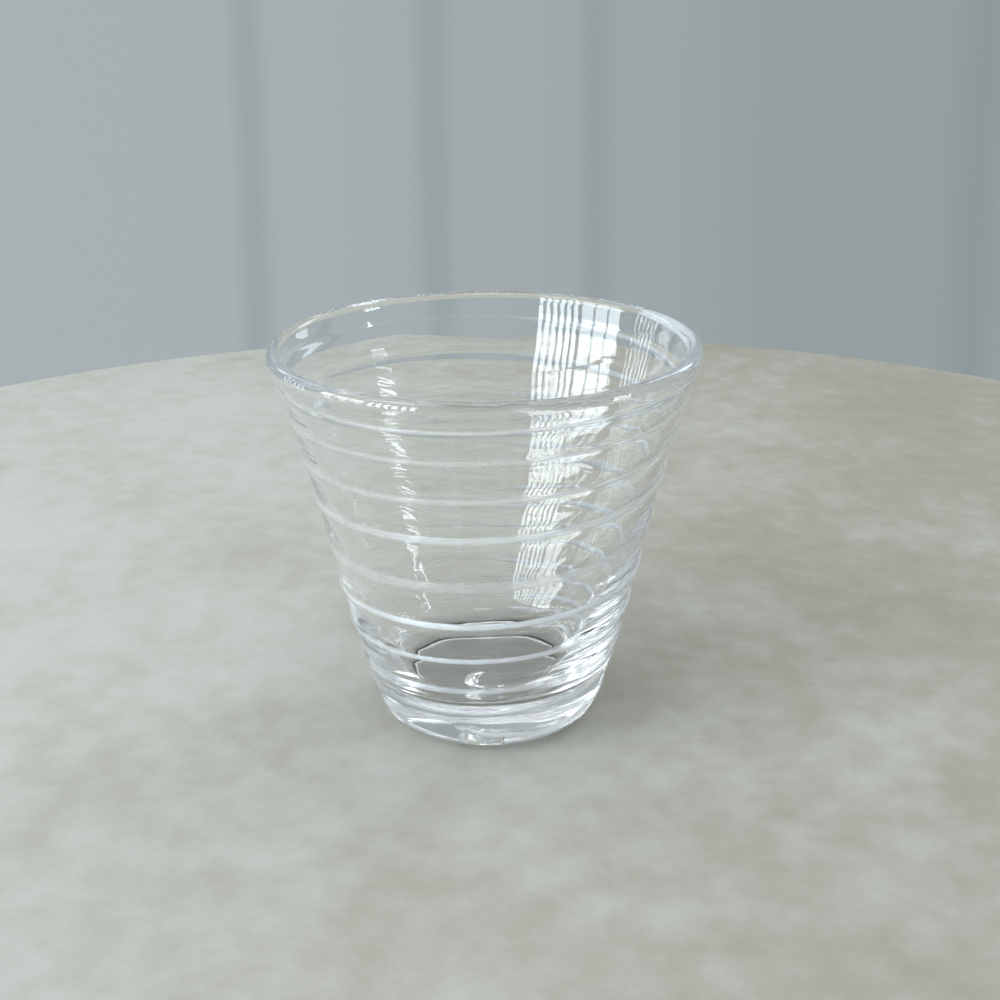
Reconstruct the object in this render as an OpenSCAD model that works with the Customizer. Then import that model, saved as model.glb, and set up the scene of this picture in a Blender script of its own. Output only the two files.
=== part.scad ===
// Hand-blown tumbler: a thick-based clear glass body wound with one trailed thread of white glass.
// Millimetres, +Z up, origin on the axis in the plane that the foot stands on.
// The body is one piece of glass, and the thread is one strand that climbs it from foot to lip.

/* [Body] */
// Diameter across the outside of the lip
rim_d = 88; // [76:1:104]
// Height from the standing plane to the top of the lip
glass_h = 82.4; // [68:0.4:100]
// Diameter of the foot where its rounding runs into the wall
foot_d = 48.7; // [42:0.1:58]
// Radius of the rounding round the foot
foot_round = 6.4; // [4:0.1:8]
// How far the lower wall swells outside a straight line from foot to lip
belly = 0.6; // [0:0.1:1.6]
// How far the upper wall draws in below the flare of the lip
waist = 1; // [0:0.1:2]

/* [Wall and lip] */
// Thickness of the wall at mid-height
wall_t = 2.3; // [1.6:0.1:3.2]
// Thickness of the heavy heel, where the wall leaves the foot
heel_t = 8; // [5:0.2:9]
// Thickness of the fire-polished lip, which is fully rounded
lip_t = 2.6; // [2:0.1:4]
// Height over which the wall thickens into the lip
lip_blend = 6; // [3:0.5:12]

/* [Base] */
// Height of the middle of the bowl's floor above the standing plane
base_t = 10.6; // [8:0.2:14]
// How far the middle of the floor sinks below its edge
floor_dip = 0.2; // [0.1:0.1:1.4]
// Radius of the rounding between the floor and the wall inside
floor_round = 4; // [2:0.5:6]
// Width of the flat ring that the foot stands on
ring_w = 0.8; // [0.6:0.1:3]
// Depth of the flat hollow inside the standing ring
kick = 0.7; // [0.4:0.1:2]
// Diameter of the dimple where the working rod was broken off
dimple_d = 8; // [6:0.5:14]
// How much further than the hollow the dimple goes in
dimple_depth = 1.2; // [0.4:0.1:2]

/* [Thread] */
// Width of the thread where it is broadest
thread_w = 2.6; // [1.6:0.1:3.6]
// How far the thread stands out from the wall
thread_relief = 0.5; // [0.2:0.05:1]
// Azimuth of the lower end, measured from the front towards +X
thread_start = -16; // [-60:1:60]
// Azimuth of the upper end, past the last turn's crossing of the front
thread_end = 128; // [40:1:150]
// How much higher a turn near the lip runs behind than in front
thread_lean = 3.2; // [0:0.1:5]
// Gap between the thread's flat side and the wall
thread_seat = 0.02; // [0.01:0.01:0.1]

/* [Hidden] */

// Height at which each turn crosses the front, from the foot up, of the glass's height
turn_height_shares = [0.063, 0.137, 0.206, 0.3, 0.402, 0.516, 0.645, 0.749, 0.851, 0.929, 0.985];
// Width of the thread at the same crossings, of its broadest width
turn_width_shares = [0.62, 0.62, 0.54, 0.52, 0.62, 1, 0.7, 0.56, 0.42, 0.42, 0.4];
// Width of the thread's two drawn-out ends, of its width there
tail_share = 0.3;
// Length of each drawn-out end, in degrees round the glass
tail_angle = 16;
// Section of the thread from its lower edge to its upper one: across, of the width, and out, of the relief
section_shares = [[-0.5, 0], [-0.4, 0.62], [-0.17, 1], [0.17, 1], [0.4, 0.62], [0.5, 0]];

wall_steps = 28;
arc_steps = 10;
rings_per_turn = 48;

rim_r = rim_d / 2;
foot_r = foot_d / 2;
lip_r = lip_t / 2;
// Centre of the lip's round section, and of the foot's rounding
lip_axis_r = rim_r - lip_r;
lip_axis_z = glass_h - lip_r;
foot_axis_r = foot_r - foot_round;
// The foot's rounding gives way to the wall where its side has turned this far up from flat
foot_turn = 70;
wall_r0 = foot_axis_r + foot_round * sin(foot_turn);
wall_z0 = foot_round * (1 - cos(foot_turn));
wall_z1 = lip_axis_z;
ring_in_r = foot_axis_r - ring_w;
dimple_r = dimple_d / 2;

// Outer radius at height z: the foot's rounding below, and a swelling and flaring wall above
function wall_share(z) = (z - wall_z0) / (wall_z1 - wall_z0);
// These make each bulge as far as its named size where it is furthest
function low_bulge(s) = s * (1 - s) * (1 - s) * 27 / 4;
function high_bulge(s) = s * s * (1 - s) * 27 / 4;
function wall_r(z) =
    z < wall_z0 ?
        foot_axis_r + sqrt(foot_round * foot_round - (foot_round - z) * (foot_round - z)) :
        let (s = wall_share(z))
        wall_r0 + (rim_r - wall_r0) * s + belly * low_bulge(s) - waist * high_bulge(s);

// Thickness of the wall at height z: much heavier at the heel, which thins fast, and a little at the lip
heel_fade = 5;
function smooth(s) = s < 0 ? 0 : s > 1 ? 1 : s * s * (3 - 2 * s);
function wall_thickness(z) =
    wall_t
    + (heel_t - wall_t) * pow(1 - min(max(wall_share(z), 0), 1), heel_fade)
    + (lip_t - wall_t) * smooth((z - lip_axis_z + lip_blend) / lip_blend);
function inner_r(z) = wall_r(z) - wall_thickness(z);

// The floor meets the wall inside in an arc that starts flat at the floor's edge and ends at the wall's slope
floor_edge_z = base_t + floor_dip;
floor_turn = 63;
floor_arc_top = floor_edge_z + floor_round * (1 - cos(floor_turn));
floor_flat_r = inner_r(floor_arc_top) - floor_round * sin(floor_turn);

// Outline of the body from the middle of the underside, round the foot and lip, to the middle of the floor
function arc(cr, cz, radius, from, to) = [
    for (i = [0 : arc_steps])
        let (a = from + (to - from) * i / arc_steps)
        [cr + radius * cos(a), cz + radius * sin(a)]
];
dimple_points = [
    for (i = [0 : arc_steps - 1])
        let (s = i / arc_steps)
        [dimple_r * s, kick + dimple_depth * (1 - s * s)]
];
// The hollow is nearly flat and turns down steeply at the ring, so its points are set closer there
kick_power = 20;
kick_points = [
    for (i = [0 : arc_steps])
        let (s = 1 - pow(1 - i / arc_steps, 2))
        [dimple_r + (ring_in_r - dimple_r) * s, kick * (1 - pow(s, kick_power))]
];
foot_points = arc(foot_axis_r, foot_round, foot_round, -90, foot_turn - 90);
outer_points = [
    for (i = [1 : wall_steps - 1])
        let (z = wall_z0 + (wall_z1 - wall_z0) * i / wall_steps)
        [wall_r(z), z]
];
lip_points = arc(lip_axis_r, lip_axis_z, lip_r, 0, 180);
inner_points = [
    for (i = [1 : wall_steps - 1])
        let (z = wall_z1 + (floor_arc_top - wall_z1) * i / wall_steps)
        [inner_r(z), z]
];
floor_arc_points = arc(floor_flat_r, floor_edge_z + floor_round, floor_round, floor_turn - 90, -90);
floor_points = [
    for (i = [1 : arc_steps])
        let (s = 1 - i / arc_steps)
        [floor_flat_r * s, floor_edge_z - floor_dip * (1 - s * s)]
];

// Path of the thread: height and width at an angle counted from the lowest crossing of the front
turns = len(turn_height_shares) - 1;
last_angle = (turns - 1) * 360 + thread_end;
ring_count = ceil((last_angle - thread_start) / 360 * rings_per_turn);
function ring_angle(i) = thread_start + (last_angle - thread_start) * i / ring_count;
// A smooth curve through the table's entries, which keeps going straight past either end
function through(list, u) =
    let (
        i = min(max(floor(u), 0), len(list) - 2),
        t = u - i,
        a = i > 0 ? list[i - 1] : 2 * list[0] - list[1],
        b = list[i],
        c = list[i + 1],
        d = i < len(list) - 2 ? list[i + 2] : 2 * c - b
    )
    t < 0 ?
        b + (c - b) * t :
        b + (c - a) / 2 * t + (2 * a - 5 * b + 4 * c - d) / 2 * t * t + (3 * b - a - 3 * c + d) / 2 * t * t * t;
function base_height(angle) = glass_h * through(turn_height_shares, angle / 360);
function thread_z(angle) =
    let (z = base_height(angle))
    z + thread_lean * z / glass_h * (1 - cos(angle)) / 2;
function tail(angle) =
    let (from_end = min(angle - thread_start, last_angle - angle))
    tail_share + (1 - tail_share) * smooth(from_end / tail_angle);
function thread_width(angle) = thread_w * through(turn_width_shares, angle / 360) * tail(angle);

// One ring of the thread. The front is towards -Y, and the chord between rings clears the round wall
chord_gain = 1 / cos(180 / rings_per_turn);
function thread_ring(i) =
    let (
        angle = ring_angle(i),
        z = thread_z(angle),
        w = thread_width(angle),
        out = thread_relief * tail(angle)
    )
    [
        for (p = section_shares)
            let (
                pz = z + w * p[0],
                r = (wall_r(pz) + thread_seat) * chord_gain + out * p[1]
            )
            [r * sin(angle), -r * cos(angle), pz]
    ];
thread_rings = [for (i = [0 : ring_count]) thread_ring(i)];
sides = len(section_shares);

// Faces are triangles: two for each side between rings, and a fan at each end
thread_faces = [
    for (i = [0 : ring_count - 1])
        for (k = [0 : sides - 1])
            let (
                a = i * sides + k,
                b = i * sides + (k + 1) % sides,
                c = a + sides,
                d = b + sides
            )
            each [[a, b, d], [a, d, c]],
    for (k = [1 : sides - 2]) [0, k + 1, k],
    for (k = [1 : sides - 2])
        let (e = ring_count * sides)
        [e, e + k, e + k + 1]
];

// Least distance between points of one turn and of the turn above it
near_rings = 3;
turn_gaps = [
    for (i = [0 : ring_count - rings_per_turn])
        for (j = [-near_rings : near_rings])
            let (m = i + rings_per_turn + j)
            if (m <= ring_count)
                for (p = thread_rings[i])
                    for (q = thread_rings[m])
                        norm(p - q)
];

module glass_body() {
    color([0.86, 0.9, 0.91, 0.45])
        rotate_extrude($fn = 96)
            polygon(concat(
                dimple_points, kick_points, foot_points, outer_points,
                lip_points, inner_points, floor_arc_points, floor_points
            ));
}

module white_thread() {
    echo(least_gap_between_turns = min(turn_gaps));
    color([0.92, 0.93, 0.97])
        polyhedron(points = [for (ring = thread_rings) each ring], faces = thread_faces, convexity = 10);
}

glass_body();
white_thread();
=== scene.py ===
"""Hand-blown tumbler wound with one trailed thread of white glass, standing on a round pale table top."""

import math

import bmesh
import bpy
from bpy.props import FloatProperty, FloatVectorProperty, PointerProperty
from mathutils import Matrix, Vector, noise


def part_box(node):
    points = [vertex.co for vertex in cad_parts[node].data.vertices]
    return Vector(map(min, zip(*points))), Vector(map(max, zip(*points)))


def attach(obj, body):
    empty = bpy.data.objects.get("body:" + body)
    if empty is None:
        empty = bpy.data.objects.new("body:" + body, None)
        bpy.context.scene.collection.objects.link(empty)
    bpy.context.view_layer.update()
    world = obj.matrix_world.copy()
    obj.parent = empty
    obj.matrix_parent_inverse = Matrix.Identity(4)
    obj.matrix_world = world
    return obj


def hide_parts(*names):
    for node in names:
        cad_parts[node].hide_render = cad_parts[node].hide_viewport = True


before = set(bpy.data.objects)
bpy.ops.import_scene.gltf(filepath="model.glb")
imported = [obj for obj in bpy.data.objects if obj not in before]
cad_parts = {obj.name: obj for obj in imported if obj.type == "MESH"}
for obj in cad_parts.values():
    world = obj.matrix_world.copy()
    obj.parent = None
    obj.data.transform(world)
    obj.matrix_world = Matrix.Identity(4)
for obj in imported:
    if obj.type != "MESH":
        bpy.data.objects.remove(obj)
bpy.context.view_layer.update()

bl_info = {
    "name": "Spiral Thread Tumbler",
    "version": (1, 0, 0),
    "blender": (4, 5, 0),
    "location": "View3D > Sidebar > Tumbler",
    "description": "Builds a hand-blown tumbler with a trailed spiral thread and a small studio stage",
    "category": "Add Mesh",
}

MM = 0.001
GLASS_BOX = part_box("glass_body")
# The lip's diameter in millimetres, from the nearest side of the CAD body, which is slightly off round
RIM_D = 2 * min(-GLASS_BOX[0][0], GLASS_BOX[1][0], -GLASS_BOX[0][1], GLASS_BOX[1][1]) / MM


def linear(code):
    """The linear colour of an sRGB hex value such as "c8d0d4"."""
    channels = [int(code[i : i + 2], 16) / 255 for i in (0, 2, 4)]
    return tuple(c / 12.92 if c <= 0.04045 else ((c + 0.055) / 1.055) ** 2.4 for c in channels)


def length(name, description, default):
    """A size in the panel. The default is in millimetres and the property in metres."""
    return FloatProperty(
        name=name, description=description, default=default * MM, min=0, precision=5, unit="LENGTH"
    )


def colour(name, description, code):
    """A colour in the panel, from its sRGB hex value."""
    return FloatVectorProperty(
        name=name, description=description, default=linear(code), size=3, min=0, max=1, subtype="COLOR"
    )


# ---------------------------------------------------------------- settings


class TumblerBodySettings(bpy.types.PropertyGroup):
    """Sizes and tint of the blown body."""

    rim_d: length("Lip diameter", "Across the outside of the lip", RIM_D)
    glass_h: length("Height", "From the standing plane to the top of the lip", GLASS_BOX[1][2] / MM)
    foot_d: length("Foot diameter", "Where the foot's rounding runs into the wall", 48.7)
    foot_round: length("Foot rounding", "Radius of the rounding round the foot", 6.4)
    belly: length("Belly", "How far the lower wall swells", 0.6)
    waist: length("Waist", "How far the upper wall draws in", 1.0)
    wall_t: length("Wall", "Thickness of the wall at mid-height", 2.3)
    heel_t: length("Heel", "Thickness of the wall where it leaves the foot", 8.0)
    lip_t: length("Lip", "Thickness of the fire-polished lip", 2.6)
    lip_h: length("Lip height", "From where the lip is widest outside to its top", 1.9)
    lip_blend: length("Lip blend", "Height over which the wall thickens into the lip", 6.0)
    base_t: length("Floor height", "Middle of the bowl's floor above the table", 10.6)
    floor_dip: length("Floor dip", "How far the middle of the floor sinks", 0.2)
    floor_round: length("Floor rounding", "Radius between the floor and the wall", 4.0)
    ring_w: length("Ring", "Width of the flat ring that the foot stands on", 0.8)
    kick: length("Kick", "Depth of the hollow inside the ring", 0.7)
    mark_d: length("Mark", "Diameter of the mark of the working rod, inside the hollow", 14.0)
    mark_depth: length("Mark depth", "Depth of the crescent that the rod tore out as it broke off", 2.9)
    inner_ripple: length("Inner ripple", "Unevenness of the wall inside", 0.07)
    outer_ripple: length("Outer ripple", "Unevenness of the wall outside", 0.03)
    lean: length("Off centre", "How far the bowl's floor sits to the left of the foot", 1.0)
    tint: colour("Tint", "Colour of clear glass in a thin wall", "ffffff")


class TumblerThreadSettings(bpy.types.PropertyGroup):
    """Sizes and colour of the trailed thread."""

    width: length("Width", "Where the thread is broadest", 2.6)
    relief: length("Relief", "How far the thread stands out from the wall", 0.5)
    lean: length("Lean", "How much higher a turn near the lip runs behind", 3.2)
    white: colour("White", "Colour of the white glass", "e4e8f0")


class TumblerStageSettings(bpy.types.PropertyGroup):
    """The table top, the room behind it and the windows."""

    table_r: length("Table radius", "Radius of the round table top", 294.0)
    table_shift: length("Table shift", "How far the table's middle lies behind the glass", 22.0)
    table_colour: colour("Table", "Pale limewash of the table top", "c2c0b9")
    # Also painted shade: the table is painted towards this colour on its right-hand side, where less window
    # light falls, besides in the rubbed-thin patches
    table_worn_and_shade: colour("Worn patches", "Where the limewash is rubbed thin", "a19a8c")
    room: colour("Room", "Pale grey-blue of the room behind", "aab3b6")
    room_dim: colour("Dim room", "The far right of the room, and the soft shapes in it", "8f999b")
    pale_room: colour("Pale walls", "The other walls of the room", "b0b9bc")
    ceiling: colour("Ceiling", "The pale ceiling, lit by the windows", "f4f9fb")
    windows: FloatProperty(name="Windows", description="Strength of the tall windows", default=29.0, min=0)


# ---------------------------------------------------------------- outline of the glass, in millimetres

# Height at which each turn of the thread crosses the front, from the foot up, of the glass's height
TURN_HEIGHT_SHARES = (0.063, 0.137, 0.206, 0.3, 0.402, 0.516, 0.645, 0.749, 0.851, 0.929, 0.985)
# Width of the thread at the same crossings, of its broadest width
TURN_WIDTH_SHARES = (0.62, 0.62, 0.54, 0.52, 0.62, 1, 0.7, 0.56, 0.42, 0.42, 0.4)
# How white the thread is at the same crossings: it is drawn thin and watery where it is broad
TURN_WHITE_SHARES = (0.7, 0.38, 0.48, 0.72, 0.82, 0.21, 0.42, 0.25, 0.22, 0.33, 0.36)
# Where the thread starts and ends, in degrees from its first crossing of the front
THREAD_START, THREAD_END = -16, 9 * 360 + 128
# Length of the thread's two drawn-out ends in degrees, and their width as a share of the width there
TAIL_ANGLE, TAIL_SHARE = 16, 0.3
# The lowest end dips under the foot's rounding: how far, at which angle, and over how many degrees
DIP, DIP_ANGLE, DIP_SPREAD = 1.5, 28, 16
# It hooks up where it was snapped off: how far, below which angle, and over how many degrees
HOOK, HOOK_ANGLE, HOOK_SPAN = 2.1, 2, 17
# How deep the thread's inner side lies in the wall, and how far its path wanders up and down, in millimetres
THREAD_SUNK, THREAD_WANDER = 0.12, 0.12
# Steps across its outer side, the power that makes it fuller than round, and degrees between two sections
ARC_STEPS, ARC_POWER, SECTION_ANGLE = 10, 0.8, 2.5
# The thread was drawn unevenly: degrees between two bumps of its thickness, and of its path
PULSE_ANGLE, WANDER_ANGLE = 37, 60
# How much its width, its relief and its white follow its thickness
WIDTH_PULSE, RELIEF_PULSE, WHITE_PULSE = 0.14, 0.2, 0.1
# Share of its white that the thread keeps along both edges, where it is thin
EDGE_COVER = 0.25
# Painted light: the strand is made whiter towards the back right, where light from behind makes it look
# paler: how much white is added there, and the azimuth of that side in degrees
PAINTED_BACKLIGHT, PAINTED_BACKLIGHT_SIDE = 2.6, 150
# The strand was stretched thinner on the left: the share of the white that is lost there, and the azimuth
WATERY, WATERY_SIDE = 0.6, 280
# Behind and to the left the glass under the strand hides its inner side: the share lost, and the azimuth
HIDDEN, HIDDEN_SIDE = 0.88, 235

# How far the foot's rounding and the floor's turn up from flat before the wall takes over
FOOT_TURN, FLOOR_TURN = math.radians(70), math.radians(63)
# Power by which the heel thins upwards: the higher, the faster
HEEL_FADE = 5
# Power of the hollow's profile: the higher, the flatter its middle
KICK_POWER = 20
# How far the mark of the working rod sits off centre, to the right and towards the front, in millimetres
MARK_RIGHT, MARK_NEAR = 1.6, 7.5
# Where the torn crescent starts and is deepest, of the mark's radius, and the azimuth that it is centred on
TEAR_START, TEAR_TOP, TEAR_SIDE = 0.55, 0.7, -60
# The bank of clear glass that the hot thread drew up at its sides: its rise, and its spread in thread widths
BANK_RISE, BANK_SPREAD = 0.16, 0.9
# Height above the bowl's floor at which the bowl is centred again, in millimetres
LEAN_FADE = 34
# Height below the top over which the ripple of the wall dies out towards the lip, outside and inside
OUTER_CALM, INNER_CALM = 5, 9
# Unevenness of the glass: millimetres between bumps, and the seed of the noise
OUTER_WAVES, INNER_WAVES, FINE_WAVES = (16, 3.1), (17, 7.7), (8, 1.9)
FLOOR_WAVES, TEAR_WAVES = (9, 5.3), (2.5, 4.4)
# Strength of the finer bumps, of the floor's and of the tear's
FINE_SHARE, FLOOR_SHARE, TEAR_SHARE = 0.3, 0.5, 0.25
# Points round the body, and the steps of its outline, from the middle of the underside to that of the floor
BODY_COLUMNS = 288
MARK_STEPS, HOLLOW_STEPS, FOOT_STEPS, WALL_STEPS = 32, 20, 14, 150
LIP_STEPS, INNER_STEPS, FLOOR_EDGE_STEPS, FLOOR_STEPS = 18, 72, 12, 12


def smooth(s):
    """Eases from 0 to 1 while s goes from 0 to 1, and stays there beyond."""
    s = min(max(s, 0.0), 1.0)
    return s * s * (3 - 2 * s)


def facing(azimuth, side, start, span):
    """How far an azimuth in radians faces a side in degrees: 0 at cosine start or less, 1 at start + span."""
    return smooth((math.cos(azimuth - math.radians(side)) - start) / span)


def through(shares, u):
    """A smooth curve through the table's entries, which keeps going straight past either end."""
    i = min(max(math.floor(u), 0), len(shares) - 2)
    t = u - i
    b, c = shares[i], shares[i + 1]
    a = shares[i - 1] if i > 0 else 2 * b - c
    d = shares[i + 2] if i < len(shares) - 2 else 2 * c - b
    if t < 0:
        return b + (c - b) * t
    return b + (c - a) / 2 * t + (2 * a - 5 * b + 4 * c - d) / 2 * t**2 + (3 * b - a - 3 * c + d) / 2 * t**3


def waves(x, y, z, size, seed):
    """Smooth unevenness from -1 to 1, with bumps about size millimetres apart."""
    return 1.6 * noise.noise(Vector((x / size + seed, y / size - seed, z / size + 2 * seed)))


class Outline:
    """The body's outline and the thread's path, from the sizes in the panel."""

    def __init__(self, body, thread):
        for name in body.bl_rna.properties.keys():
            value = getattr(body, name)
            if isinstance(value, float):
                setattr(self, name, value / MM)
        self.thread_w = thread.width / MM
        self.thread_relief = thread.relief / MM
        self.thread_lean = thread.lean / MM
        self.lip_r = self.lip_t / 2
        self.lip_axis_r = self.rim_d / 2 - self.lip_r
        self.lip_axis_z = self.glass_h - self.lip_r
        self.lip_wide_z = self.glass_h - self.lip_h
        self.foot_axis_r = self.foot_d / 2 - self.foot_round
        self.wall_r0 = self.foot_axis_r + self.foot_round * math.sin(FOOT_TURN)
        self.wall_z0 = self.foot_round * (1 - math.cos(FOOT_TURN))
        self.floor_edge_z = self.base_t + self.floor_dip
        self.floor_top = self.floor_edge_z + self.floor_round * (1 - math.cos(FLOOR_TURN))
        self.floor_flat_r = self.inner_r(self.floor_top) - self.floor_round * math.sin(FLOOR_TURN)

    def share(self, z):
        """How far up the wall height z is, from 0 at the foot to 1 at the lip."""
        return (z - self.wall_z0) / (self.lip_axis_z - self.wall_z0)

    def wall_r(self, z):
        """Outer radius at height z."""
        if z < self.wall_z0:
            return self.foot_axis_r + math.sqrt(max(self.foot_round**2 - (self.foot_round - z) ** 2, 0))
        s = self.share(z)
        # the factor 27 / 4 makes either curve 1 at its highest
        swell = self.belly * s * (1 - s) ** 2 - self.waist * s * s * (1 - s)
        return self.wall_r0 + (self.rim_d / 2 - self.wall_r0) * s + swell * 27 / 4

    def lip_swell(self, z):
        """How much the wall swells outwards at height z as it nears the lip."""
        share = smooth((z - self.lip_wide_z + self.lip_blend) / self.lip_blend)
        return (self.rim_d / 2 - self.wall_r(self.lip_wide_z)) * share

    def inner_r(self, z):
        """Inner radius at height z."""
        heel = (self.heel_t - self.wall_t) * (1 - min(max(self.share(z), 0), 1)) ** HEEL_FADE
        lip = (self.lip_t - self.wall_t) * smooth((z - self.lip_axis_z + self.lip_blend) / self.lip_blend)
        return self.wall_r(z) - self.wall_t - heel - lip

    def thread_z(self, angle):
        """Height of the thread. The angle is in degrees, and 0 where the thread first crosses the front."""
        z = self.glass_h * through(TURN_HEIGHT_SHARES, angle / 360)
        z += self.thread_lean * z / self.glass_h * (1 - math.cos(math.radians(angle))) / 2
        z -= DIP * math.exp(-(((angle - DIP_ANGLE) / DIP_SPREAD) ** 2))
        return z + HOOK * smooth((HOOK_ANGLE - angle) / HOOK_SPAN)

    def thread_tail(self, angle):
        """How much of its width and relief the thread has, which shrink at both of its ends."""
        from_end = min(angle - THREAD_START, THREAD_END - angle)
        return TAIL_SHARE + (1 - TAIL_SHARE) * smooth(from_end / TAIL_ANGLE)

    def thread_width(self, angle):
        """Width of the thread."""
        return self.thread_w * through(TURN_WIDTH_SHARES, angle / 360) * self.thread_tail(angle)

    def turns_at(self, azimuth):
        """(height, width) of each turn at an azimuth in degrees."""
        angles = [azimuth + 360 * k for k in range(-1, 11)]
        inside = [a for a in angles if THREAD_START <= a <= THREAD_END]
        return [(self.thread_z(a), self.thread_width(a)) for a in inside]


# ---------------------------------------------------------------- mesh helpers


def circle_point(radius, azimuth, z):
    """A point in metres. Azimuth 0 is the front, towards -Y, and it grows towards +X."""
    return (radius * math.sin(azimuth) * MM, -radius * math.cos(azimuth) * MM, z * MM)


def mesh_object(name, points, faces):
    """A smooth-shaded mesh object whose faces all look outwards."""
    mesh = bpy.data.meshes.new(name)
    mesh.from_pydata(points, [], faces)
    shape = bmesh.new()
    shape.from_mesh(mesh)
    bmesh.ops.recalc_face_normals(shape, faces=shape.faces)
    shape.to_mesh(mesh)
    shape.free()
    mesh.shade_smooth()
    piece = bpy.data.objects.new(name, mesh)
    bpy.context.scene.collection.objects.link(piece)
    return piece


def revolve(name, rows, middle_low, middle_high, columns, place):
    """A closed form turned from rows of outline points, with one point in the middle of either end."""
    points, faces = [], []
    for j in range(columns):
        azimuth = 2 * math.pi * j / columns
        points += [place(row, azimuth) for row in rows]
    count = len(rows)
    points += [middle_low, middle_high]
    low, high = len(points) - 2, len(points) - 1
    for j in range(columns):
        a, b = j * count, (j + 1) % columns * count
        faces += [(a + k, b + k, b + k + 1, a + k + 1) for k in range(count - 1)]
        faces += [(low, b, a), (high, a + count - 1, b + count - 1)]
    return mesh_object(name, points, faces)


# ---------------------------------------------------------------- material helpers


def add_node(tree, kind, settings=(), inputs=()):
    """Adds a node. Settings are (property, value) pairs, and inputs (socket, value or output) pairs."""
    node = tree.nodes.new(kind)
    for name, value in settings:
        setattr(node, name, value)
    for socket, value in inputs:
        if isinstance(value, bpy.types.NodeSocket):
            tree.links.new(value, node.inputs[socket])
        else:
            node.inputs[socket].default_value = value
    return node


def new_material(name):
    """An empty material with its node tree and output."""
    material = bpy.data.materials.new(name)
    material.use_nodes = True
    tree = material.node_tree
    tree.nodes.clear()
    return material, tree, add_node(tree, "ShaderNodeOutputMaterial")


def blown_soda_lime_glass(tint):
    """Clear soda-lime glass, blown and fire-polished: colourless, with faint striae that bend the view."""
    material, tree, output = new_material("blown_soda_lime_glass")
    place = add_node(tree, "ShaderNodeNewGeometry").outputs["Position"]
    # Striae: soft cords in the glass about 7 mm apart, which make reflections of straight edges waver
    striae = add_node(
        tree,
        "ShaderNodeTexNoise",
        [("noise_dimensions", "3D")],
        [("Vector", place), ("Scale", 1 / (7 * MM)), ("Detail", 3.0), ("Roughness", 0.55)],
    )
    bump = add_node(
        tree,
        "ShaderNodeBump",
        [],
        [("Strength", 0.3), ("Distance", 0.06 * MM), ("Height", striae.outputs["Fac"])],
    )
    glass = add_node(
        tree,
        "ShaderNodeBsdfPrincipled",
        [],
        [
            ("Base Color", (*tint, 1)),
            ("Transmission Weight", 1.0),
            ("IOR", 1.51),
            ("Roughness", 0.0),
            ("Normal", bump.outputs["Normal"]),
        ],
    )
    tree.links.new(glass.outputs[0], output.inputs["Surface"])
    return material


def trailed_opal_glass(white):
    """White opal glass, trailed onto the hot wall: milky and softly lit through, watery where it is thin."""
    material, tree, output = new_material("trailed_opal_glass")
    place = add_node(tree, "ShaderNodeNewGeometry").outputs["Position"]
    cover = add_node(tree, "ShaderNodeAttribute", [("attribute_name", "cover")])
    # Drawn streaks: the opal is uneven along the strand, in stretches of about 3 mm
    streaks = add_node(
        tree, "ShaderNodeTexNoise", [], [("Vector", place), ("Scale", 1 / (3 * MM)), ("Detail", 3.0)]
    )
    uneven = add_node(
        tree,
        "ShaderNodeMapRange",
        [],
        [
            ("Value", streaks.outputs["Fac"]),
            ("From Min", 0.3),
            ("From Max", 0.7),
            ("To Min", 0.82),
            ("To Max", 1.0),
        ],
    )
    solid = add_node(
        tree,
        "ShaderNodeMath",
        [("operation", "MULTIPLY")],
        [(0, cover.outputs["Fac"]), (1, uneven.outputs["Result"])],
    )
    # Light that has got inside the strand passes its far side without meeting the white again
    inside = add_node(tree, "ShaderNodeNewGeometry").outputs["Backfacing"]
    entering = add_node(tree, "ShaderNodeMath", [("operation", "SUBTRACT")], [(0, 1.0), (1, inside)])
    seen = add_node(
        tree, "ShaderNodeMath", [("operation", "MULTIPLY")], [(0, solid.outputs[0]), (1, entering.outputs[0])]
    )
    opal = add_node(
        tree,
        "ShaderNodeBsdfPrincipled",
        [],
        [
            ("Base Color", (*white, 1)),
            ("Subsurface Weight", 1.0),
            ("Subsurface Scale", 1.2 * MM),
            ("Subsurface Radius", (1.0, 1.0, 1.0)),
            ("IOR", 1.5),
            ("Roughness", 0.12),
        ],
    )
    clear = add_node(tree, "ShaderNodeBsdfTransparent")
    mix = add_node(
        tree,
        "ShaderNodeMixShader",
        [],
        [(0, seen.outputs[0]), (1, clear.outputs[0]), (2, opal.outputs[0])],
    )
    tree.links.new(mix.outputs[0], output.inputs["Surface"])
    return material


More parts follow.
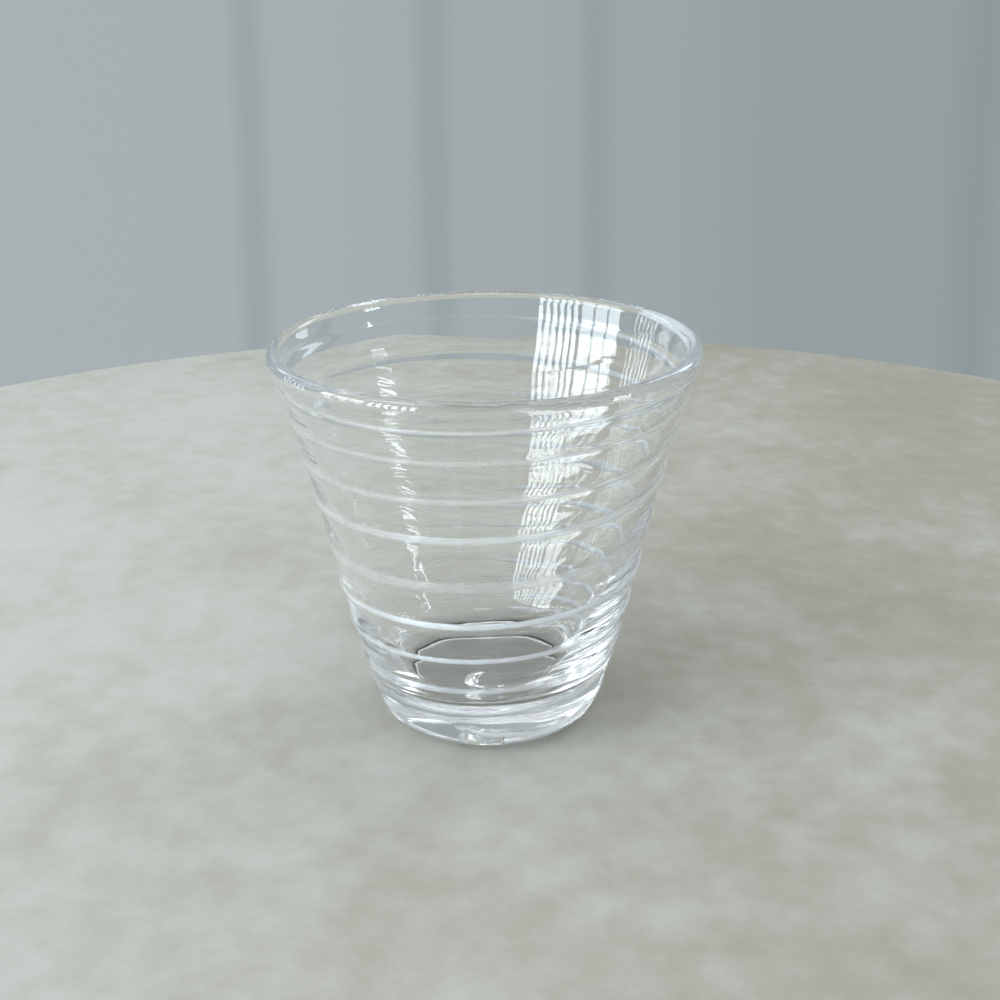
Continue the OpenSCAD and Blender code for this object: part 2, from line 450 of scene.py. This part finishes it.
def limewashed_plaster(pale, worn_and_shade):
    """Limewash brushed over a plastered table top: matt and pale, softly greyer in patches where it is rubbed
    thin, and with painted shade that darkens it towards the right.
    """
    material, tree, output = new_material("limewashed_plaster")
    place = add_node(tree, "ShaderNodeNewGeometry").outputs["Position"]
    # Worn patches about 60 mm across, with a finer mottle of 9 mm inside them
    patches = add_node(
        tree,
        "ShaderNodeTexNoise",
        [],
        [("Vector", place), ("Scale", 1 / (60 * MM)), ("Detail", 6.0), ("Roughness", 0.62)],
    )
    mottle = add_node(
        tree,
        "ShaderNodeTexNoise",
        [],
        [("Vector", place), ("Scale", 1 / (9 * MM)), ("Detail", 5.0), ("Roughness", 0.6)],
    )
    both = add_node(
        tree,
        "ShaderNodeMix",
        [],
        [("Factor", 0.4), ("A", patches.outputs["Fac"]), ("B", mottle.outputs["Fac"])],
    )
    # Painted shade: the table is painted darker towards its right-hand side, where less window light falls,
    # on top of the rubbed-thin patches
    across = add_node(tree, "ShaderNodeSeparateXYZ", [], [(0, place)]).outputs["X"]
    painted_shade_right = add_node(
        tree,
        "ShaderNodeMapRange",
        [],
        [
            ("Value", across),
            ("From Min", -110 * MM),
            ("From Max", 110 * MM),
            ("To Min", 0.12),
            ("To Max", -0.12),
        ],
    )
    wear_and_painted_shade = add_node(
        tree,
        "ShaderNodeMath",
        [("operation", "ADD")],
        [(0, both.outputs["Result"]), (1, painted_shade_right.outputs["Result"])],
    )
    share = add_node(
        tree,
        "ShaderNodeMapRange",
        [("interpolation_type", "SMOOTHSTEP")],
        [("Value", wear_and_painted_shade.outputs[0]), ("From Min", 0.24), ("From Max", 0.76)],
    )
    paint = add_node(
        tree,
        "ShaderNodeMix",
        [("data_type", "RGBA")],
        [("Factor", share.outputs["Result"]), ("A", (*worn_and_shade, 1)), ("B", (*pale, 1))],
    )
    bump = add_node(
        tree,
        "ShaderNodeBump",
        [],
        [("Strength", 0.3), ("Distance", 0.3 * MM), ("Height", mottle.outputs["Fac"])],
    )
    surface = add_node(
        tree,
        "ShaderNodeBsdfPrincipled",
        [],
        [
            ("Base Color", paint.outputs["Result"]),
            ("Roughness", 0.62),
            ("IOR", 1.45),
            ("Normal", bump.outputs["Normal"]),
        ],
    )
    tree.links.new(surface.outputs[0], output.inputs["Surface"])
    return material


# ---------------------------------------------------------------- operators


class BlowTumbler(bpy.types.Operator):
    """Blow the clear body: foot, wall, lip, bowl and the hollow under the foot"""

    bl_idname = "tumbler.blow_body"
    bl_label = "Blow body"

    def execute(self, context):
        scene = context.scene
        line = Outline(scene.tumbler_body, scene.tumbler_thread)
        turns = [line.turns_at((360 * j / BODY_COLUMNS + 180) % 360 - 180) for j in range(BODY_COLUMNS)]

        def place(entry, azimuth):
            part, radius, z, weight = entry
            x, y = math.sin(azimuth) * radius, -math.cos(azimuth) * radius
            right, near = 0.0, 0.0
            if part == "outer":
                radius += weight * line.outer_ripple * waves(x, y, z, *OUTER_WAVES)
                for height, width in turns[round(azimuth / (2 * math.pi) * BODY_COLUMNS) % BODY_COLUMNS]:
                    radius += weight * BANK_RISE * math.exp(-(((z - height) / (BANK_SPREAD * width)) ** 2))
            elif part == "inner":
                uneven = waves(x, y, z, *INNER_WAVES) + FINE_SHARE * waves(x, y, z, *FINE_WAVES)
                radius += weight * line.inner_ripple * uneven
                right = -line.lean * (1 - smooth((z - line.floor_top) / LEAN_FADE))
            elif part == "floor":
                z += FLOOR_SHARE * line.inner_ripple * waves(x, y, z, *FLOOR_WAVES)
                right = -line.lean
            elif part == "mark":
                # the rod tore out glass on one side only, unevenly, and the tear runs out thin at both ends
                tear = facing(azimuth, TEAR_SIDE, -0.3, 1.1)
                tear = max(tear * (1 + TEAR_SHARE * waves(x, y, 0, *TEAR_WAVES)), 0.01)
                z += line.mark_depth * min(tear, 1) * weight ** (1 / tear)
                right, near = MARK_RIGHT, MARK_NEAR
            elif part == "hollow":
                right, near = MARK_RIGHT * weight, MARK_NEAR * weight
            point = circle_point(radius, azimuth, z)
            return (point[0] + right * MM, point[1] - near * MM, point[2])

        body = revolve(
            "blown_body",
            self.rows(line),
            (MARK_RIGHT * MM, -MARK_NEAR * MM, line.kick * MM),
            (-line.lean * MM, 0, line.base_t * MM),
            BODY_COLUMNS,
            place,
        )
        body.data.materials.append(blown_soda_lime_glass(scene.tumbler_body.tint))
        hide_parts("glass_body")
        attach(body, "root")
        return {"FINISHED"}

    def rows(self, line):
        """The outline as (part, radius, height, weight of what makes that part uneven or shifts it)."""
        rows = []
        mark_r, ring_in_r = line.mark_d / 2, line.foot_axis_r - line.ring_w
        for i in range(1, MARK_STEPS):
            s = i / MARK_STEPS
            torn = smooth((s - TEAR_START) / (TEAR_TOP - TEAR_START))
            torn *= 1 - smooth((s - TEAR_TOP) / (1 - TEAR_TOP))
            rows.append(("mark", mark_r * s, line.kick, torn))
        for i in range(HOLLOW_STEPS + 1):
            # the hollow is nearly flat and turns down steeply at the ring, so its rows are closer there
            s = 1 - (1 - i / HOLLOW_STEPS) ** 2
            radius = mark_r + (ring_in_r - mark_r) * s
            rows.append(("hollow", radius, line.kick * (1 - s**KICK_POWER), 1 - smooth(s)))
        for i in range(FOOT_STEPS + 1):
            turn = FOOT_TURN * i / FOOT_STEPS
            radius = line.foot_axis_r + line.foot_round * math.sin(turn)
            rows.append(("outer", radius, line.foot_round * (1 - math.cos(turn)), smooth(i / FOOT_STEPS)))
        for i in range(1, WALL_STEPS):
            z = line.wall_z0 + (line.lip_wide_z - line.wall_z0) * i / WALL_STEPS
            radius = line.wall_r(z) + line.lip_swell(z)
            rows.append(("outer", radius, z, smooth((line.glass_h - z) / OUTER_CALM)))
        for i in range(LIP_STEPS + 1):
            # the outer half of the lip slumped a little in the fire, and is flatter than the inner
            turn = math.pi * i / LIP_STEPS
            drop = line.lip_h if i < LIP_STEPS / 2 else line.lip_r
            radius = line.lip_axis_r + line.lip_r * math.cos(turn)
            rows.append(("lip", radius, line.glass_h - drop * (1 - math.sin(turn)), 0))
        for i in range(1, INNER_STEPS):
            z = line.lip_axis_z + (line.floor_top - line.lip_axis_z) * i / INNER_STEPS
            rows.append(("inner", line.inner_r(z), z, smooth((line.glass_h - z) / INNER_CALM)))
        for i in range(FLOOR_EDGE_STEPS + 1):
            turn = FLOOR_TURN * (1 - i / FLOOR_EDGE_STEPS)
            radius = line.floor_flat_r + line.floor_round * math.sin(turn)
            rows.append(("floor", radius, line.floor_edge_z + line.floor_round * (1 - math.cos(turn)), 1))
        for i in range(1, FLOOR_STEPS):
            s = 1 - i / FLOOR_STEPS
            rows.append(("floor", line.floor_flat_r * s, line.floor_edge_z - line.floor_dip * (1 - s * s), 1))
        return rows


class TrailThread(bpy.types.Operator):
    """Trail the white thread from the foot up to the lip, half melted into the wall"""

    bl_idname = "tumbler.trail_thread"
    bl_label = "Trail thread"

    def execute(self, context):
        scene = context.scene
        line = Outline(scene.tumbler_body, scene.tumbler_thread)
        # The section's points: across, of the width, and out, of the relief. Its two ends lie in the wall
        turns = [math.pi * k / ARC_STEPS for k in range(ARC_STEPS + 1)]
        arc = [(-0.5, -1), *((-math.cos(t) / 2, math.sin(t) ** ARC_POWER) for t in turns), (0.5, -1)]
        sides = len(arc)
        rings = round((THREAD_END - THREAD_START) / SECTION_ANGLE)
        points, faces, cover = [], [], []
        for i in range(rings + 1):
            angle = THREAD_START + (THREAD_END - THREAD_START) * i / rings
            azimuth = math.radians(angle)
            pulse = noise.noise(Vector((angle / PULSE_ANGLE, 4.2, 0)))
            z = line.thread_z(angle) + THREAD_WANDER * noise.noise(Vector((angle / WANDER_ANGLE, 0, 9.1)))
            width = line.thread_width(angle) * (1 + WIDTH_PULSE * pulse)
            relief = line.thread_relief * line.thread_tail(angle) * (1 + RELIEF_PULSE * pulse)
            # painted light: more white towards the back right, standing in for the light from behind
            painted_backlight = 1 + PAINTED_BACKLIGHT * facing(azimuth, PAINTED_BACKLIGHT_SIDE, 0.2, 0.5)
            watery = WATERY * facing(azimuth, WATERY_SIDE, 0.5, 0.4)
            hidden = HIDDEN * facing(azimuth, HIDDEN_SIDE, 0.05, 0.5)
            white = through(TURN_WHITE_SHARES, angle / 360) * (1 + WHITE_PULSE * pulse) * painted_backlight
            for across, out in arc:
                height = z + width * across
                radius = line.wall_r(height) + (relief * out if out >= 0 else -THREAD_SUNK)
                points.append(circle_point(radius, azimuth, height))
                # the white is thinner towards the strand's edges, and whole on the side in the wall
                seen = 1 - (hidden if out < 0 else watery)
                cover.append(min(white * seen * (EDGE_COVER + (1 - EDGE_COVER) * abs(out)), 1))
        for i in range(rings):
            for k in range(sides):
                a, b = i * sides + k, i * sides + (k + 1) % sides
                faces.append((a, b, b + sides, a + sides))
        faces.append(tuple(range(sides)))
        faces.append(tuple(rings * sides + k for k in reversed(range(sides))))
        thread = mesh_object("trailed_thread", points, faces)
        layer = thread.data.attributes.new("cover", "FLOAT", "POINT")
        layer.data.foreach_set("value", cover)
        thread.data.materials.append(trailed_opal_glass(scene.tumbler_thread.white))
        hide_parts("white_thread")
        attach(thread, "root")
        return {"FINISHED"}


# The table top's rounded edge and its thickness in millimetres, and the points round it
TABLE_EDGE, TABLE_DEPTH, TABLE_COLUMNS = 4.0, 22.0, 192
# Dimness of the panelled wall behind, against how far to the right it is seen
PANEL_STOPS = (
    (-0.3, 0.1), (-0.175, 0.12), (-0.157, 0.55), (-0.14, 0.15), (-0.062, 0.25), (-0.04, 0.65), (-0.02, 0.3),
    (0.045, 0.4), (0.065, 0.75), (0.085, 0.5), (0.2, 0.8), (0.27, 0.75), (0.3, 1.0), (0.32, 0.75),
)
# Added to those places, so that they lie between 0 and 1 on the colour ramp
PANEL_SHIFT = 0.5
# The camera's film, lens and place in millimetres, and its turn, from a fit to the photo's ellipses
SENSOR_WIDTH, LENS = 36, 54
CAMERA_PLACE = (2.7764, -294.8861, 161.1222)
CAMERA_RIGHT, CAMERA_UP = (0.99995081, -0.00356499, -0.00925572), (0.00991854, 0.35940915, 0.93312737)
# Cool daylight from a clouded sky
DAYLIGHT = linear("edf9ff")


def add_window(name, strength, azimuth, low, high, wide, distance=1.0):
    """A window as an area light. Its angles are in degrees from the glass, with azimuth 0 at the camera."""
    side = Vector((math.sin(math.radians(azimuth)), -math.cos(math.radians(azimuth)), 0))
    bottom, top = (distance * math.tan(math.radians(angle)) for angle in (low, high))
    lamp = bpy.data.lights.new(name, "AREA")
    lamp.shape = "RECTANGLE"
    lamp.size = 2 * distance * math.tan(math.radians(wide / 2))
    lamp.size_y = top - bottom
    lamp.energy = strength * lamp.size * lamp.size_y
    lamp.color = DAYLIGHT
    window = bpy.data.objects.new(name, lamp)
    window.location = side * distance + Vector((0, 0, (bottom + top) / 2))
    window.rotation_euler = side.to_track_quat("Z", "Y").to_euler()
    window.visible_camera = False
    bpy.context.scene.collection.objects.link(window)


class SetStage(bpy.types.Operator):
    """Set up the table top, the pale room, the windows and the camera"""

    bl_idname = "tumbler.set_stage"
    bl_label = "Set stage"

    def execute(self, context):
        scene = context.scene
        stage = scene.tumbler_stage
        self.table(stage)
        self.room(scene, stage)
        self.lamps(stage)
        self.camera(scene)
        scene.view_settings.view_transform = "Standard"
        # light is reflected many times inside the lip and the heel before it comes out
        scene.cycles.max_bounces = 64
        scene.cycles.transmission_bounces = 64
        scene.cycles.glossy_bounces = 64
        scene.cycles.transparent_max_bounces = 32
        return {"FINISHED"}

    def table(self, stage):
        """The round table top, from the middle out over its rounded edge and back under it."""
        radius, shift = stage.table_r / MM, stage.table_shift / MM
        rows = [(radius * s, 0.0) for s in (0.25, 0.5, 0.75)]
        for t in (0, 0.4, 0.8, 1.2, 1.57):
            rows.append((radius - TABLE_EDGE + TABLE_EDGE * math.sin(t), -TABLE_EDGE * (1 - math.cos(t))))
        rows += [(radius, -TABLE_DEPTH), (radius * 0.9, -TABLE_DEPTH)]

        def place(entry, azimuth):
            x, y, z = circle_point(entry[0], azimuth, entry[1])
            return (x, y + shift * MM, z)

        middle, under = (0, shift * MM, 0), (0, shift * MM, -TABLE_DEPTH * MM)
        table = revolve("table_top", rows, middle, under, TABLE_COLUMNS, place)
        table.data.materials.append(limewashed_plaster(stage.table_colour, stage.table_worn_and_shade))

    def room(self, scene, stage):
        """The room as a world: walls and ceiling in soft tones, since the glass shows and mirrors them."""
        world = bpy.data.worlds.new("room")
        scene.world = world
        world.use_nodes = True
        tree = world.node_tree
        tree.nodes.clear()
        output = add_node(tree, "ShaderNodeOutputWorld")
        way = add_node(tree, "ShaderNodeTexCoord").outputs["Generated"]
        split = add_node(tree, "ShaderNodeSeparateXYZ", [], [(0, way)])
        # The wall behind the table is panelled, with soft grey joints far out of focus, and dims to the right
        shifted = add_node(
            tree, "ShaderNodeMath", [("operation", "ADD")], [(0, split.outputs["X"]), (1, PANEL_SHIFT)]
        )
        panels = add_node(tree, "ShaderNodeValToRGB", [], [(0, shifted.outputs[0])])
        ramp = panels.color_ramp
        ramp.interpolation = "EASE"
        while len(ramp.elements) < len(PANEL_STOPS):
            ramp.elements.new(1.0)
        for stop, (across, dim) in zip(ramp.elements, PANEL_STOPS):
            stop.position = across + PANEL_SHIFT
            stop.color = (dim, dim, dim, 1)
        wall = add_node(
            tree,
            "ShaderNodeMix",
            [("data_type", "RGBA")],
            [("Factor", panels.outputs["Color"]), ("A", (*stage.room, 1)), ("B", (*stage.room_dim, 1))],
        )
        # That wall is in half shade, and the rest of the room is paler
        behind = add_node(
            tree,
            "ShaderNodeMapRange",
            [("interpolation_type", "SMOOTHSTEP")],
            [("Value", split.outputs["Y"]), ("From Min", -0.1), ("From Max", 0.6)],
        )
        walls = add_node(
            tree,
            "ShaderNodeMix",
            [("data_type", "RGBA")],
            [
                ("Factor", behind.outputs["Result"]),
                ("A", (*stage.pale_room, 1)),
                ("B", wall.outputs["Result"]),
            ],
        )
        # The walls keep their colour to 40 degrees up, and pale into the ceiling from there
        up = add_node(
            tree,
            "ShaderNodeMapRange",
            [("interpolation_type", "SMOOTHSTEP")],
            [("Value", split.outputs["Z"]), ("From Min", 0.64), ("From Max", 0.94)],
        )
        paint = add_node(
            tree,
            "ShaderNodeMix",
            [("data_type", "RGBA")],
            [
                ("Factor", up.outputs["Result"]),
                ("A", walls.outputs["Result"]),
                ("B", (*stage.ceiling, 1)),
            ],
        )
        light = add_node(
            tree, "ShaderNodeBackground", [], [("Color", paint.outputs["Result"]), ("Strength", 1.0)]
        )
        tree.links.new(light.outputs[0], output.inputs["Surface"])

    def lamps(self, stage):
        """The windows, with azimuths below 0 on the left."""
        full = stage.windows
        # The big window on the left, of broad panes above low ones
        for i in range(3):
            azimuth = -84.5 + 9.5 * i
            add_window("window_wide_%d" % i, full * 1.1, azimuth=azimuth, low=8, high=24, wide=8.2)
            add_window("window_low_%d" % i, full * 0.5, azimuth=azimuth + 1, low=-10, high=6, wide=4.0)
        # Narrow panes nearer the camera, which the wall mirrors as upright stripes
        for i in range(6):
            azimuth = -57.5 + 4.5 * i
            add_window("window_narrow_%d" % i, full * 1.4, azimuth=azimuth, low=-10, high=24, wide=2.6)
        # Slits further round, seen at a slant, for the fine lines at the left edge
        for i in range(6):
            azimuth = -102 - 3.5 * i
            add_window("window_far_%d" % i, full * 0.8, azimuth=azimuth, low=-10, high=24, wide=0.9)
        add_window("window_high", full * 0.5, azimuth=-55, low=38, high=58, wide=30)
        # A window with a blind on the right, for the short bars on the right of the wall
        for low, high in ((-10, -6), (-4, -1), (1.5, 3), (5.5, 7.5), (12, 15)):
            add_window("window_right_%d" % low, full * 1.9, azimuth=71, low=low, high=high, wide=11)
        add_window("skylight", full * 0.35, azimuth=0, low=60, high=80, wide=40, distance=0.5)
        add_window("window_back_right", full * 0.6, azimuth=130, low=15, high=45, wide=12)
        add_window("window_back_left", full * 0.4, azimuth=-130, low=15, high=45, wide=10)

    def camera(self, scene):
        lens = bpy.data.cameras.new("camera")
        lens.sensor_width = SENSOR_WIDTH
        lens.lens = LENS
        lens.clip_start = 0.01
        camera = bpy.data.objects.new("camera", lens)
        right, up = Vector(CAMERA_RIGHT), Vector(CAMERA_UP)
        turn = Matrix((right, up, right.cross(up))).transposed()
        camera.matrix_world = Matrix.Translation(Vector(CAMERA_PLACE) * MM) @ turn.to_4x4()
        scene.collection.objects.link(camera)
        scene.camera = camera


class TumblerPanel(bpy.types.Panel):
    """Lists the tumbler's steps and sizes in the sidebar"""

    bl_idname = "VIEW3D_PT_tumbler"
    bl_label = "Spiral thread tumbler"
    bl_space_type = "VIEW_3D"
    bl_region_type = "UI"
    bl_category = "Tumbler"

    def draw(self, context):
        scene = context.scene
        for step, settings in (
            (BlowTumbler, scene.tumbler_body),
            (TrailThread, scene.tumbler_thread),
            (SetStage, scene.tumbler_stage),
        ):
            box = self.layout.box()
            box.operator(step.bl_idname)
            for name in settings.bl_rna.properties.keys():
                if name not in ("rna_type", "name"):
                    box.prop(settings, name)


SETTINGS = {
    "tumbler_body": TumblerBodySettings,
    "tumbler_thread": TumblerThreadSettings,
    "tumbler_stage": TumblerStageSettings,
}
CLASSES = (*SETTINGS.values(), BlowTumbler, TrailThread, SetStage, TumblerPanel)


def register():
    for kind in CLASSES:
        bpy.utils.register_class(kind)
    for name, kind in SETTINGS.items():
        setattr(bpy.types.Scene, name, PointerProperty(type=kind))


def unregister():
    for name in SETTINGS:
        delattr(bpy.types.Scene, name)
    for kind in reversed(CLASSES):
        bpy.utils.unregister_class(kind)


def main():
    register()
    bpy.ops.tumbler.blow_body()
    bpy.ops.tumbler.trail_thread()
    bpy.ops.tumbler.set_stage()
    bpy.context.view_layer.update()


if __name__ == "__main__":
    main()
